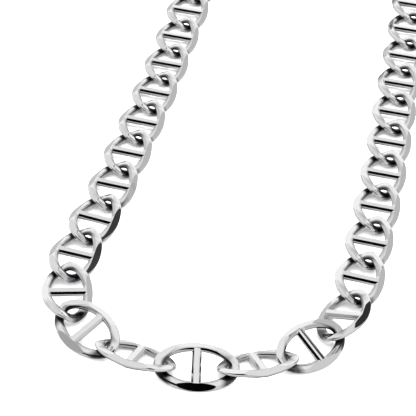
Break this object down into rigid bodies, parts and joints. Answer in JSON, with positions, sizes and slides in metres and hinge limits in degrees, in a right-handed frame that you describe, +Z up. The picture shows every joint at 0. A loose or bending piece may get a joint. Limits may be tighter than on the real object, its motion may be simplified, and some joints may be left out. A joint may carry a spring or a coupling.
{
  "type": "mariner link chain necklace",
  "caption": "Mariner link chain necklace in polished white metal: oval rings, each with a bar across its middle, fastened by a plain barrel clasp and lying flat in a long loop.",
  "frame": {"origin": "under the middle of the necklace's box, on the surface that it lies on", "axes": "+Z up from the surface, +Y along the loop from the front link to the clasp, +X to the right"},
  "size_m": [0.062, 0.2046, 0.0044],
  "materials": {
    "link_metal": "polished",
    "clasp_metal": "polished"
  },
  "bodies": {
    "root": {"link_01": "link_metal", "link_02": "link_metal", "link_03": "link_metal", "link_04": "link_metal", "link_05": "link_metal", "link_06": "link_metal", "link_07": "link_metal", "link_08": "link_metal", "link_09": "link_metal", "link_10": "link_metal", "link_11": "link_metal", "link_12": "link_metal", "link_13": "link_metal", "link_14": "link_metal", "link_15": "link_metal", "link_16": "link_metal", "link_17": "link_metal", "link_18": "link_metal", "link_19": "link_metal", "link_20": "link_metal", "link_21": "link_metal", "link_22": "link_metal", "link_23": "link_metal", "link_24": "link_metal", "link_25": "link_metal", "link_26": "link_metal", "link_27": "link_metal", "link_28": "link_metal", "link_29": "link_metal", "link_30": "link_metal", "link_31": "link_metal", "link_32": "link_metal", "link_33": "link_metal", "link_34": "link_metal", "link_35": "link_metal", "link_36": "link_metal", "link_37": "link_metal", "link_38": "link_metal", "link_39": "link_metal", "link_40": "link_metal", "clasp": "clasp_metal"}
  },
  "joints": []
}
